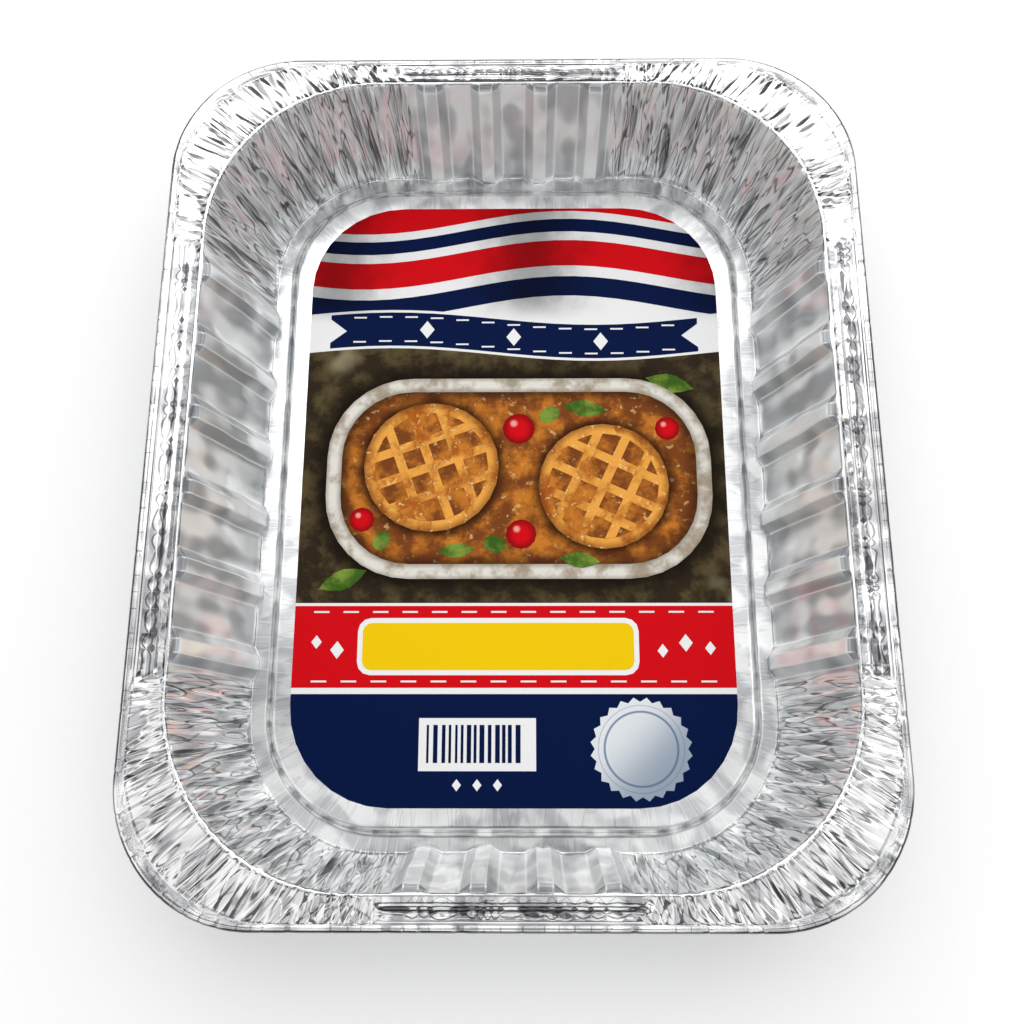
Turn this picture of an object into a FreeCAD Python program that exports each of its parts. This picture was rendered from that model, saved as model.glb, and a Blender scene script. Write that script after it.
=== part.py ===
import FreeCAD, Part
import math
import os

os.makedirs("parts", exist_ok=True)

Vector = FreeCAD.Vector

# Foil pan: sizes over the rolled edge and down to the foot ring
pan_width = 263.5
pan_length = 325.0
pan_depth = 50.0
foil_wall = 0.4

# Corner radii seen from above, at the rolled edge, the mouth and the foot
rim_corner_radius = 48.3
mouth_corner_radius = 65.0
foot_corner_radius = 49.8

# Widths seen from above, from the rolled edge in to the floor panel
side_flange = 15.1
end_flange = 12.0
side_wall_run = 17.0
end_wall_run = 10.6
foot_ring_width = 4.8
panel_step_run = 4.2
panel_rise = 1.2

# Flange: a flat strip beside the mouth, a shallow channel and the rolled edge
flat_strip_share = 0.34
channel_share = 0.56
channel_depth = 1.0
bead_start_drop = 0.7
rolled_edge_radius = 1.5
rolled_edge_drop = 1.9
flange_pleat_height = 0.22

# Upright ribs pressed into the four walls
side_rib_count = 6
end_rib_count = 4
side_rib_margin = 8.3
end_rib_margin = 12.6
rib_base = 13.0
rib_face = 4.8
rib_depth = 2.7
rib_top_drop = 1.4
rib_foot_height = 3.5
rib_foot_share = 0.75

# Pleats where the foil gathers round the corners
pleats_per_corner = 25
pleat_depth = 0.95

# Straight runs that stand for each quarter turn of the flange
rim_steps = 12

# Printed card that lies on the floor panel, with gaps to the panel's edge
card_side_gap = 6.05
card_end_gap = 6.7
card_corner_radius = 38.0
card_thickness = 0.3
ink_thickness = 0.08

# Print fields, from the card's centre line across, in hundredths of the card's half width
wave_foot = 73.0
picture_foot = -56.0
band_foot = -96.0
field_gap = 1.4

foot_height = foil_wall
mouth_height = foot_height + pan_depth
floor_height = foot_height + panel_rise
card_floor = floor_height
card_top = card_floor + card_thickness


def scatter(number):
    """Gives an uneven but fixed share between 0 and 1 for a whole number."""
    value = math.sin(12.9898 * number + 4.1414) * 43758.5453
    return value - math.floor(value)


def ring(half_width, half_length, radius, height):
    return {"across": half_width, "along": half_length, "radius": radius, "height": height}


def between(first, second, share):
    """Gives the ring at a share of the way from the first ring to the second."""
    return {key: first[key] + (second[key] - first[key]) * share for key in first}


def grown(base, outward, lift):
    """Gives the ring moved outward on every side and lifted."""
    return ring(base["across"] + outward, base["along"] + outward, base["radius"] + outward,
                base["height"] + lift)


def turned(x, y, height, quarter):
    """Turns a point by whole quarter turns about the upright axis."""
    for _ in range(quarter % 4):
        x, y = -y, x
    return Vector(x, y, height)


rim = ring(pan_width / 2, pan_length / 2, rim_corner_radius, mouth_height - rolled_edge_drop)
mouth = ring(pan_width / 2 - side_flange, pan_length / 2 - end_flange, mouth_corner_radius,
             mouth_height)
foot = ring(mouth["across"] - side_wall_run, mouth["along"] - end_wall_run,
            foot_corner_radius, foot_height)
foot_inner = grown(foot, -foot_ring_width, 0)
panel_edge = grown(foot_inner, -panel_step_run, panel_rise)


def rib_edges(straight, count, margin):
    """Gives the rib centres along one wall and where its last rib ends."""
    reach = straight - margin
    pitch = (2 * reach - rib_base) / (count - 1)
    centres = [(i - (count - 1) / 2) * pitch for i in range(count)]
    return centres, reach


side_ribs, side_reach = rib_edges(mouth["along"] - mouth["radius"], side_rib_count, side_rib_margin)
end_ribs, end_reach = rib_edges(mouth["across"] - mouth["radius"], end_rib_count, end_rib_margin)
wall_ribs = [side_ribs, end_ribs, side_ribs, end_ribs]
wall_reach = [side_reach, end_reach, side_reach, end_reach]


def on_wall(base, quarter, place, inward):
    """Point on a ring's straight side, moved inward by some millimetres."""
    distance = base["across"] if quarter % 2 == 0 else base["along"]
    return turned(distance - inward, place, base["height"], quarter)


def on_corner(base, quarter, share, inward, reach, next_reach):
    """Point at a share of the way round a ring's corner, between the last ribs beside it."""
    distance, along = base["across"], base["along"]
    if quarter % 2:
        distance, along = along, distance
    radius = base["radius"]
    first = along - radius - reach
    arc = radius * math.pi / 2
    last = distance - radius - next_reach
    travel = share * (first + arc + last)
    if travel <= first:
        return turned(distance - inward, reach + travel, base["height"], quarter)
    if travel >= first + arc:
        place = distance - radius - (travel - first - arc)
        return turned(place, along - inward, base["height"], quarter)
    angle = (travel - first) / radius
    x = distance - radius + (radius - inward) * math.cos(angle)
    y = along - radius + (radius - inward) * math.sin(angle)
    return turned(x, y, base["height"], quarter)


def wall_loop(base, rib_push, pleat_push, drift):
    """Closed loop of points with ribs on the straights and pleats round the corners."""
    points = []
    for quarter in range(4):
        reach = wall_reach[quarter]
        next_reach = wall_reach[(quarter + 1) % 4]
        for centre in wall_ribs[quarter]:
            for offset, push in ((-rib_base / 2, 0), (-rib_face / 2, rib_push),
                                 (rib_face / 2, rib_push), (rib_base / 2, 0)):
                points.append(on_wall(base, quarter, centre + offset, push))
        steps = 2 * pleats_per_corner
        for step in range(1, steps):
            number = quarter * 100 + step
            fold = 1 if step % 2 else -0.6
            size = fold * (0.45 + 0.75 * scatter(number)) * pleat_push
            slide = (scatter(number + 900) - 0.5) * drift / steps
            share = step / steps + slide
            points.append(on_corner(base, quarter, share, size, reach, next_reach))
    return points


def rim_loop(base, ripple):
    """Closed loop round the flange, with small upright ripples at the corners."""
    points = []
    for quarter in range(4):
        for step in range(rim_steps + 1):
            angle = math.pi / 2 * step / rim_steps
            distance, along = base["across"], base["along"]
            if quarter % 2:
                distance, along = along, distance
            x = distance - base["radius"] + base["radius"] * math.cos(angle)
            y = along - base["radius"] + base["radius"] * math.sin(angle)
            lift = ripple * (1 if step % 2 else -1) if 0 < step < rim_steps else 0
            points.append(turned(x, y, base["height"] + lift, quarter))
    return points


def flat(points):
    """Says whether four points lie in one plane."""
    normal = (points[1] - points[0]).cross(points[2] - points[0])
    if normal.Length < 1e-9:
        return False
    return abs(normal.normalize().dot(points[3] - points[0])) < 1e-7


def polygon(points):
    return Part.Face(Part.makePolygon(points + [points[0]]))


def band(first, second):
    """Faces between two loops with the same number of points."""
    faces = []
    count = len(first)
    for i in range(count):
        j = (i + 1) % count
        corners = [first[i], first[j], second[j], second[i]]
        if flat(corners):
            faces.append(polygon(corners))
            continue
        faces.append(polygon([corners[0], corners[1], corners[2]]))
        faces.append(polygon([corners[0], corners[2], corners[3]]))
    return faces


def level_ring(outer_points, inner_points):
    """Level face between an outer and an inner loop."""
    outer = Part.Face(Part.makePolygon(outer_points + [outer_points[0]]))
    inner = Part.Face(Part.makePolygon(inner_points + [inner_points[0]]))
    return outer.cut(inner).Faces


def flange_rings(side):
    """Rings from the flat strip out to the end of the rolled edge, for one face of the foil.

    The side is 0 for the upper face and 1 for the lower one.
    """
    radius = rolled_edge_radius - side * foil_wall
    drop = side * foil_wall
    rings = [between(mouth, rim, flat_strip_share), between(mouth, rim, channel_share)]
    rings[0]["height"] = mouth_height - drop
    rings[1]["height"] = mouth_height - channel_depth - drop
    start = grown(rim, -2 * rolled_edge_radius - 0.4, 0)
    start["height"] = mouth_height - bead_start_drop - drop
    rings.append(start)
    for degrees in (100, 50, 0, -50, -100, -150):
        angle = math.radians(degrees)
        outward = rolled_edge_radius - radius * math.cos(angle)
        rings.append(grown(rim, -outward, radius * math.sin(angle)))
    return rings


def foil_pan():
    """The whole pan as one closed solid of pressed foil."""
    top_shares = [0, rib_top_drop / pan_depth, 0.5, 1 - rib_foot_height / pan_depth, 1]
    rib_shares = [0, 1, 1, 1, rib_foot_share]
    pleat_shares = [0.3, 0.7, 1.0, 0.9, 0.5]
    drifts = [0, 0.2, 0.9, 0.4, 0]
    mitre = 0.75 * foil_wall
    faces = []
    walls = []
    for side in (0, 1):
        loops = []
        for row, share in enumerate(top_shares):
            base = between(mouth, foot, share)
            if side and row in (0, 4):
                base = grown(base, mitre, -foil_wall)
            elif side:
                base = grown(base, foil_wall, 0)
            loops.append(wall_loop(base, rib_depth * rib_shares[row],
                                   pleat_depth * pleat_shares[row], drifts[row]))
        for upper, lower in zip(loops, loops[1:]):
            faces += band(upper, lower)
        walls.append(loops)
    for side in (0, 1):
        rings = flange_rings(side)
        ripples = [0, flange_pleat_height, 0.5 * flange_pleat_height] + [0] * (len(rings) - 3)
        loops = [rim_loop(base, ripple) for base, ripple in zip(rings, ripples)]
        for first, second in zip(loops, loops[1:]):
            faces += band(first, second)
        faces += level_ring(loops[0], walls[side][0])
        walls[side].append(loops[-1])
    faces += band(walls[0][-1], walls[1][-1])
    for side in (0, 1):
        drop = side * foil_wall
        inner = rim_loop(grown(foot_inner, -0.3 * drop, -drop), 0)
        step = rim_loop(grown(panel_edge, -0.3 * drop, -drop), 0)
        faces += level_ring(walls[side][4], inner)
        faces += band(inner, step)
        faces.append(polygon(step))
    shell = Part.makeShell(faces)
    shell.sewShape()
    solid = Part.makeSolid(shell)
    if solid.Volume < 0:
        solid.reverse()
    return solid


card_side = panel_edge["across"] - card_side_gap
card_end = panel_edge["along"] - card_end_gap

# The print is drawn in hundredths of the card's half width, so that it follows the card
print_unit = card_side / 100
head_line = card_end / print_unit


def spot(x, y):
    """Point of the print, from its drawn place to millimetres."""
    return Vector(x * print_unit, y * print_unit, 0)


def round_plate(x, y, width, height, radius):
    """Level plate at height zero, its round corners made of short straight runs."""
    steps = 8 if radius > 12 else 3
    points = []
    for quarter in range(4):
        sx = 1 if quarter in (0, 3) else -1
        sy = 1 if quarter in (0, 1) else -1
        for step in range(steps + 1):
            angle = math.pi / 2 * (quarter + step / steps)
            points.append(spot(x + sx * (width / 2 - radius) + radius * math.cos(angle),
                               y + sy * (height / 2 - radius) + radius * math.sin(angle)))
    return polygon(points)


def raised(face, layer):
    """Ink of one layer on the card, from a face drawn at height zero."""
    body = face.extrude(Vector(0, 0, ink_thickness))
    body.translate(Vector(0, 0, card_top + layer * ink_thickness))
    return body


def strip(left, foot_line, right, top_line):
    """Level rectangle at height zero."""
    return polygon([spot(left, foot_line), spot(right, foot_line),
                    spot(right, top_line), spot(left, top_line)])


def disc(x, y, radius, squash=1.0, turn=0.0):
    """Level disc at height zero, or an oval with a squash below one, turned by some degrees."""
    steps = 24 if radius > 12 else 12
    lean = math.radians(turn)
    points = []
    for step in range(steps):
        angle = 2 * math.pi * step / steps
        first = radius * math.cos(angle)
        second = radius * squash * math.sin(angle)
        points.append(spot(x + first * math.cos(lean) - second * math.sin(lean),
                           y + first * math.sin(lean) + second * math.cos(lean)))
    return polygon(points)


def diamond(x, y, size):
    return polygon([spot(x + size, y), spot(x, y + 1.3 * size),
                    spot(x - size, y), spot(x, y - 1.3 * size)])


def leaf(x, y, length, turn):
    """Pointed leaf starting at a point and turned about it by some degrees."""
    lean = math.radians(turn)
    steps = 5
    shares = [i / steps for i in range(steps + 1)]
    edge = [(length * share, 0.2 * length * math.sin(math.pi * share)) for share in shares]
    edge += [(first, -second) for first, second in reversed(edge[1:-1])]
    return polygon([spot(x + first * math.cos(lean) - second * math.sin(lean),
                         y + first * math.sin(lean) + second * math.cos(lean))
                    for first, second in edge])


def swell(x, foot_line, height, phase):
    """Height of a wave line across the card."""
    return foot_line + height * math.sin(math.pi * (x / 100 + 2 * phase))


def wave(foot_line, top_line, height, phase):
    """Level field between two wave lines, wider than the card."""
    steps = 20
    places = [-101 + 202 * i / steps for i in range(steps + 1)]
    lower = [spot(x, swell(x, foot_line, height, phase)) for x in places]
    upper = [spot(x, swell(x, top_line, height, phase)) for x in reversed(places)]
    return polygon(lower + upper)


def clipped(face, outline):
    return face.common(outline)


def joined(shapes, layer):
    """One node's ink: every face of a layer raised on the card."""
    return [raised(face, layer) for shape in shapes for face in shape.Faces]


outline = round_plate(0, 0, 200, 2 * head_line, card_corner_radius / print_unit)

# Ink nodes are filled layer by layer, and a layer lies face to face on the one below
ink = {name: [] for name in ("print_red", "print_navy", "print_white", "print_yellow",
                             "print_dark", "print_cream", "print_orange", "print_brown",
                             "print_green", "print_silver")}

# Wavy bands at the card's head, clear of the ribbon that lies across their foot
wave_lines = [(wave_foot + 19, wave_foot + 29.5, "print_navy"),
              (wave_foot + 35.5, wave_foot + 49.5, "print_red"),
              (wave_foot + 54.5, wave_foot + 61.5, "print_navy"),
              (wave_foot + 66, wave_foot + 94.5, "print_red")]
ribbon_low = wave_foot - 4.7
ribbon_high = wave_foot + 13
ribbon_swell = 3.5
ribbon_phase = 0.55
ribbon_middle = (ribbon_low + ribbon_high) / 2
ribbon = clipped(wave(ribbon_low, ribbon_high, ribbon_swell, ribbon_phase),
                 strip(-90, -head_line, 90, head_line))
for end in (-1, 1):
    notch_middle = swell(86 * end, ribbon_middle, ribbon_swell, ribbon_phase)
    ribbon = ribbon.cut(polygon([spot(91 * end, notch_middle - 7), spot(82 * end, notch_middle),
                                 spot(91 * end, notch_middle + 7)]))
ribbon_floor = wave(ribbon_low - field_gap, ribbon_high + field_gap, ribbon_swell, ribbon_phase)
for low, high, name in wave_lines:
    field = clipped(wave(low, high, 6.5, 0.12), outline)
    ink[name] += joined([field.cut(ribbon_floor)], 0)

# The picture field, which the ribbon covers at its head
picture = clipped(strip(-100, picture_foot, 100, wave_foot + 7), outline)
picture = picture.cut(ribbon_floor)
picture_part = max(picture.Faces, key=lambda face: face.Area)
ink["print_dark"] += joined([picture_part], 0)
ink["print_navy"] += joined([ribbon], 0)

# Band and foot fields
lower_band = clipped(strip(-100, band_foot + field_gap, 100, picture_foot - field_gap), outline)
ink["print_red"] += joined([lower_band], 0)
foot_field = clipped(strip(-100, -head_line, 100, band_foot - field_gap), outline)
ink["print_navy"] += joined([foot_field], 0)

# Ribbon: two rows of stitches and a few diamonds
for i in (-1, 0, 1):
    x = 42.5 * i
    middle = swell(x, ribbon_middle, ribbon_swell, ribbon_phase)
    ink["print_white"] += joined([diamond(x, middle, 3.6)], 1)
stitch_count = 13
for i in range(stitch_count):
    x = (i - (stitch_count - 1) / 2) * 12.6
    for line in (ribbon_low + 2.4, ribbon_high - 2.4):
        y = swell(x, line, ribbon_swell, ribbon_phase)
        ink["print_white"] += joined([strip(x - 3.1, y - 0.4, x + 3.1, y + 0.4)], 1)

# Picture: a pale dish with two lattice pies, small tomatoes, olives and leaves
dish = round_plate(2.4, 4.7, 182, 99, 40)
ink["print_cream"] += joined([dish], 1)
ink["print_brown"] += joined([round_plate(2.4, 4.7, 168, 85, 33)], 2)
pies = [(-39.0, 9.5, 32.0, 20.0), (42.5, 0.0, 30.7, 65.0)]
lattice_width = 4.3
lattice_pitch = 13.0
for x, y, radius, turn in pies:
    ink["print_orange"] += joined([disc(x, y, radius)], 3)
    filling = disc(x, y, radius * 0.84)
    ink["print_brown"] += joined([filling], 4)
    strips = []
    for quarter in (0, 90):
        for i in (-1, 0, 1):
            line = strip(-radius, i * lattice_pitch - lattice_width / 2,
                         radius, i * lattice_pitch + lattice_width / 2)
            line.rotate(Vector(0, 0, 0), Vector(0, 0, 1), turn + quarter)
            line.translate(spot(x, y))
            strips.append(line)
    lattice = strips[0].multiFuse(strips[1:]).removeSplitter()
    ink["print_orange"] += joined([clipped(lattice, filling)], 5)
tomatoes = [(2.4, 28.4, 7.7), (3.5, -23.6, 7.1), (-71.0, -16.5, 5.9), (73.3, 28.4, 5.9)]
for x, y, radius in tomatoes:
    ink["print_red"] += joined([disc(x, y, radius)], 3)
olives = [(17.1, 35.5, 5.2, 30.0), (-8.9, -28.4, 5.4, -20.0), (-61.5, -26.6, 5.0, 60.0)]
for x, y, radius, turn in olives:
    ink["print_green"] += joined([disc(x, y, radius, 0.75, turn)], 3)
leaves = [(-89.8, -49.6, 23.6, 22.0), (-35.5, -31.9, 17.7, 4.0), (21.3, -34.9, 18.9, -6.0),
          (23.6, 40.2, 21.3, -8.0), (63.8, 54.4, 23.6, -14.0)]
for i, (x, y, length, turn) in enumerate(leaves):
    if i in (0, 4):
        ink["print_green"] += joined([leaf(x, y, length, turn).cut(dish)], 1)
        continue
    ink["print_green"] += joined([leaf(x, y, length, turn)], 3)

# Red band: dash rows, diamonds and a bare yellow plate
dash_count = 14
for i in range(dash_count):
    x = (i - (dash_count - 1) / 2) * 13.5
    for y in (picture_foot - field_gap - 2.8, band_foot + field_gap + 2.8):
        ink["print_white"] += joined([strip(x - 3.5, y - 0.4, x + 3.5, y + 0.4)], 1)
band_middle = (picture_foot + band_foot) / 2
ink["print_white"] += joined([round_plate(-7, band_middle, 127.6, 26, 6)], 1)
ink["print_yellow"] += joined([round_plate(-7, band_middle, 123, 21.4, 4.1)], 2)
sprinkle = [(-89.5, 2.0, 2.4), (-80.0, -1.6, 3.1), (67.5, -2.0, 2.4), (78.0, 1.6, 3.1),
            (89.0, -0.8, 2.4)]
for x, rise, size in sprinkle:
    ink["print_white"] += joined([diamond(x, band_middle + rise, size)], 1)

# Foot field: a white panel with plain bars and a silver seal with a notched edge
panel_left = -42.0
panel_foot = -131.0
panel_width = 52.0
panel_height = 23.0
ink["print_white"] += joined([strip(panel_left, panel_foot, panel_left + panel_width,
                                    panel_foot + panel_height)], 1)
place = panel_left + 3.5
bar = 0
while place < panel_left + panel_width - 5.3:
    width = 0.8 + 1.5 * scatter(bar + 31)
    ink["print_navy"] += joined([strip(place, panel_foot + 3.5, place + width,
                                       panel_foot + panel_height - 3)], 2)
    place += width + 0.9 + 1.3 * scatter(bar + 57)
    bar += 1
for i in (-1, 0, 1):
    middle = panel_left + panel_width / 2
    ink["print_white"] += joined([diamond(middle + 9.0 * i, panel_foot - 6.0, 2.0)], 1)
seal_across = 56.5
seal_along = -121.4
seal_radius = 21.6
seal_notches = 24
seal_points = []
for i in range(2 * seal_notches):
    angle = math.pi * i / seal_notches
    radius = seal_radius + (1.0 if i % 2 else -1.0)
    seal_points.append(spot(seal_across + radius * math.cos(angle),
                            seal_along + radius * math.sin(angle)))
ink["print_silver"] += joined([polygon(seal_points)], 1)

pan = foil_pan()
pan.exportStep("parts/foil_pan.step")

card = outline.extrude(Vector(0, 0, card_thickness))
card.translate(Vector(0, 0, card_floor))
card.exportStep("parts/label_sheet.step")

for name, bodies in ink.items():
    Part.makeCompound(bodies).exportStep("parts/" + name + ".step")
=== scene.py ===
import math

import bpy
import numpy as np
from mathutils import Matrix, Vector


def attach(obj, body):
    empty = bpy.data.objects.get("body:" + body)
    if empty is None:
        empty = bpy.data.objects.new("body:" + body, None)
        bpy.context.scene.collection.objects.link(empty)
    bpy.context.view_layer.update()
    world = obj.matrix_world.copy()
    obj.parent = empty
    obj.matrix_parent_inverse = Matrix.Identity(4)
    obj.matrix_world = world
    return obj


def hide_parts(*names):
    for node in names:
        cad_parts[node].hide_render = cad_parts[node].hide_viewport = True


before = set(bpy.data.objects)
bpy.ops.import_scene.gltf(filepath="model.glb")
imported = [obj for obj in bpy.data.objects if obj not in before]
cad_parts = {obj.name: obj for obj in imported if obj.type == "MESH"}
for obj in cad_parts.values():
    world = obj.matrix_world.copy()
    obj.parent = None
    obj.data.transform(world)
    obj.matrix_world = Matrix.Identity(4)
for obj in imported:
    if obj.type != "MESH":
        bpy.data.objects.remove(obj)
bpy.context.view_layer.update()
print("frame loaded")


class Signal:
    # one shader value, so that shader maths reads as a formula
    def __init__(self, tree, socket):
        self.tree = tree
        self.socket = socket

    def maths(self, operation, *others):
        node = self.tree.nodes.new("ShaderNodeMath")
        node.operation = operation
        for number, value in enumerate((self,) + others):
            if isinstance(value, Signal):
                self.tree.links.new(value.socket, node.inputs[number])
            else:
                node.inputs[number].default_value = value
        return Signal(self.tree, node.outputs[0])

    def reflected(self, operation, other):
        node = self.tree.nodes.new("ShaderNodeMath")
        node.operation = operation
        node.inputs[0].default_value = other
        self.tree.links.new(self.socket, node.inputs[1])
        return Signal(self.tree, node.outputs[0])

    def __add__(self, other):
        return self.maths("ADD", other)

    def __radd__(self, other):
        return self.maths("ADD", other)

    def __sub__(self, other):
        return self.maths("SUBTRACT", other)

    def __rsub__(self, other):
        return self.reflected("SUBTRACT", other)

    def __mul__(self, other):
        return self.maths("MULTIPLY", other)

    def __rmul__(self, other):
        return self.maths("MULTIPLY", other)

    def __truediv__(self, other):
        return self.maths("DIVIDE", other)

    def __rtruediv__(self, other):
        return self.reflected("DIVIDE", other)

    def sine(self):
        return self.maths("SINE")

    def size(self):
        return self.maths("ABSOLUTE")

    def root(self):
        return self.maths("SQRT")

    def saw(self):
        # sharp-edged wave between -1 and 1, one tooth for each whole number
        return ((self.maths("FRACT") - 0.5).size() * 4) - 1

    def step(self, low, high):
        # smooth step from 0 below low to 1 above high
        node = self.tree.nodes.new("ShaderNodeMapRange")
        node.interpolation_type = "SMOOTHSTEP"
        self.tree.links.new(self.socket, node.inputs["Value"])
        node.inputs["From Min"].default_value = low
        node.inputs["From Max"].default_value = high
        return Signal(self.tree, node.outputs["Result"])


class Shader:
    # one material's node tree with a principled surface
    def __init__(self, name):
        self.material = bpy.data.materials.new(name)
        self.material.use_nodes = True
        self.tree = self.material.node_tree
        self.surface = self.tree.nodes["Principled BSDF"]
        self.output = self.tree.nodes["Material Output"]

    def node(self, kind, settings=None, output=0, **values):
        # any node: settings are its own properties, values its inputs by name with _ for a space,
        # or by number after an i
        made = self.tree.nodes.new("ShaderNode" + kind)
        for key, value in (settings or {}).items():
            setattr(made, key, value)
        for key, value in values.items():
            which = int(key[1:]) if key[1:].isdigit() else key.replace("_", " ")
            self.put(value, made.inputs[which])
        return Signal(self.tree, made.outputs[output])

    def put(self, value, socket):
        if isinstance(value, Signal):
            self.tree.links.new(value.socket, socket)
        else:
            socket.default_value = value

    def set(self, **values):
        for key, value in values.items():
            self.put(value, self.surface.inputs[key.replace("_", " ")])

    def place(self):
        # place on the object in millimetres
        coords = self.node("TexCoord", output=3)
        return self.node("VectorMath", {"operation": "SCALE"}, i0=coords, Scale=1000.0)

    def parts(self, vector):
        made = self.tree.nodes.new("ShaderNodeSeparateXYZ")
        self.tree.links.new(vector.socket, made.inputs[0])
        return [Signal(self.tree, made.outputs[i]) for i in range(3)]

    def noise(self, vector, grain, detail=0.0, roughness=0.5):
        # cloudy value between 0 and 1 whose lumps are about grain millimetres wide
        return self.node("TexNoise", Vector=vector, Scale=1.0 / grain, Detail=detail,
                         Roughness=roughness)

    def mix(self, share, first, second):
        made = self.tree.nodes.new("ShaderNodeMix")
        made.data_type = "RGBA"
        self.put(share, made.inputs[0])
        self.put(first if isinstance(first, Signal) else (*first, 1), made.inputs[6])
        self.put(second if isinstance(second, Signal) else (*second, 1), made.inputs[7])
        return Signal(self.tree, made.outputs[2])

    def bump(self, height, strength, distance):
        made = self.tree.nodes.new("ShaderNodeBump")
        made.inputs["Strength"].default_value = strength
        made.inputs["Distance"].default_value = distance
        self.tree.links.new(height.socket, made.inputs["Height"])
        return Signal(self.tree, made.outputs[0])


# what a user would change in the pan, in millimetres
pan = {
    # half width, half length and corner radius: over the rolled edge, at the mouth and at the foot
    "rim": (131.75, 162.5, 48.3),
    "mouth": (116.65, 150.5, 65.0),
    "foot": (99.65, 139.9, 49.8),
    "ringWidth": 4.8,
    "stepRun": 4.2,
    "mouthHeight": 50.4,
    "footHeight": 0.4,
    "floorHeight": 1.6,
    "wall": 0.4,
    "underGap": 0.6,  # from the upper face of the walls and flange to the lower one
    "beadRadius": 1.5,
    "beadDrop": 1.9,
    "beadPinch": 0.16,
    "flangeShares": (0, 0.02, 0.05, 0.11, 0.26, 0.30, 0.40, 0.58, 0.70, 0.78, 0.84),
    "flangeHeights": (-0.15, 0, 0, -0.40, -0.70, -0.45, -0.75, -0.65, -0.40, -0.85, -0.75),
    "cornerHeights": (-0.15, 0, -0.05, -0.30, -0.55, -0.60, -0.65, -0.70, -0.72, -0.80, -0.75),
    "tiePitch": 7.0,
    "cornerTie": 6.4,
    "crimpPitch": 6.6,
    "cornerCrimp": 5.2,
    "cornerBlend": 7.0,
    "sideRibs": 6,
    "endRibs": 4,
    "sideMargin": 8.3,
    "endMargin": 12.6,
    "ribBase": 13.0,
    "ribFace": 4.8,
    "ribDepth": 2.7,
    "ribTop": 1.4,
    "ribFoot": 3.5,
    "ribFootShare": 0.75,
    "creaseSpace": 0.6,
    "flatStations": 6,
    "cornerStations": 160,
    "pleats": 25,
    "pleatDepth": 1.25,
    "unrolledShare": 0.14,
    "seed": 7,
}

chance = np.random.default_rng(pan["seed"])


def ribCentres(straight, count, margin):
    reach = straight - margin
    pitch = (2 * reach - pan["ribBase"]) / (count - 1)
    return (np.arange(count) - (count - 1) / 2) * pitch, reach


mouthHalf, mouthLength, mouthRadius = pan["mouth"]
sideRibs, sideReach = ribCentres(mouthLength - mouthRadius, pan["sideRibs"], pan["sideMargin"])
endRibs, endReach = ribCentres(mouthHalf - mouthRadius, pan["endRibs"], pan["endMargin"])


def sideStations(centres, reach):
    # places along one wall, close together at every crease of its ribs
    half, face = pan["ribBase"] / 2, pan["ribFace"] / 2
    middle = (half + face) / 2
    space, faceSpace = pan["creaseSpace"], 0.5
    offsets = [-half, space - half, -middle, -face - faceSpace, -face, faceSpace - face, 0,
               face - faceSpace, face, face + faceSpace, middle, half - space, half]
    spots = [centre + offset for centre in centres for offset in offsets]
    for first, second in zip(centres, centres[1:]):
        spots += list(np.linspace(first + half, second - half, pan["flatStations"] + 2)[1:-1])
    return np.sort(np.array(spots))


# stations round the pan, from the right wall anticlockwise: each wall's, then its corner's
quarters, isSide, along, turned = [], [], [], []
for quarter in range(4):
    wallPlaces = sideStations(*((sideRibs, sideReach), (endRibs, endReach))[quarter % 2])
    turnShares = np.linspace(0, 1, pan["cornerStations"] + 2)[1:-1]
    quarters += [quarter] * (len(wallPlaces) + len(turnShares))
    isSide += [1] * len(wallPlaces) + [0] * len(turnShares)
    along += list(wallPlaces) + [0] * len(turnShares)
    turned += [0] * len(wallPlaces) + list(turnShares)
quarters, isSide = np.array(quarters), np.array(isSide, bool)
along, turned = np.array(along), np.array(turned)
reachHere = np.where(quarters % 2 == 0, sideReach, endReach)
reachNext = np.where(quarters % 2 == 0, endReach, sideReach)
stationCount = len(quarters)


def ringPlaces(half, length, radius):
    # points and outward directions on rounded rectangles: a column of sizes gives one row each
    half, length, radius = (np.asarray(v, float).reshape(-1, 1) for v in (half, length, radius))
    across = np.where(quarters % 2 == 0, half, length)
    other = np.where(quarters % 2 == 0, length, half)
    first = other - radius - reachHere
    arc = radius * np.pi / 2
    travel = turned * (first + arc + across - radius - reachNext)
    angle = np.where(isSide, 0, np.clip((travel - first) / radius, 0, np.pi / 2))
    x = across - radius + radius * np.cos(angle) - np.maximum(travel - first - arc, 0)
    y = other - radius + radius * np.sin(angle) + np.minimum(travel - first, 0)
    x, y = np.where(isSide, across, x), np.where(isSide, along, y)
    turnX, turnY = np.cos(quarters * np.pi / 2), np.sin(quarters * np.pi / 2)
    outX, outY = np.cos(angle), np.sin(angle)
    return (x * turnX - y * turnY, x * turnY + y * turnX,
            outX * turnX - outY * turnY, outX * turnY + outY * turnX)


mouthX, mouthY, _, _ = (v[0] for v in ringPlaces(mouthHalf, mouthLength, mouthRadius))
gaps = np.hypot(np.roll(mouthX, -1) - mouthX, np.roll(mouthY, -1) - mouthY)
around = np.concatenate([[0], np.cumsum(gaps)[:-1]])  # distance round the mouth, in mm
lap = gaps.sum()
cornerPath = np.array([gaps[(quarters == q) & ~isSide].sum() for q in range(4)])[quarters]
fromWall = np.minimum(turned, 1 - turned) * cornerPath
cornerShare = np.where(isSide, 0, np.clip(fromWall / pan["cornerBlend"], 0, 1))
cornerShare = cornerShare * cornerShare * (3 - 2 * cornerShare)  # smooth at both ends


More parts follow.
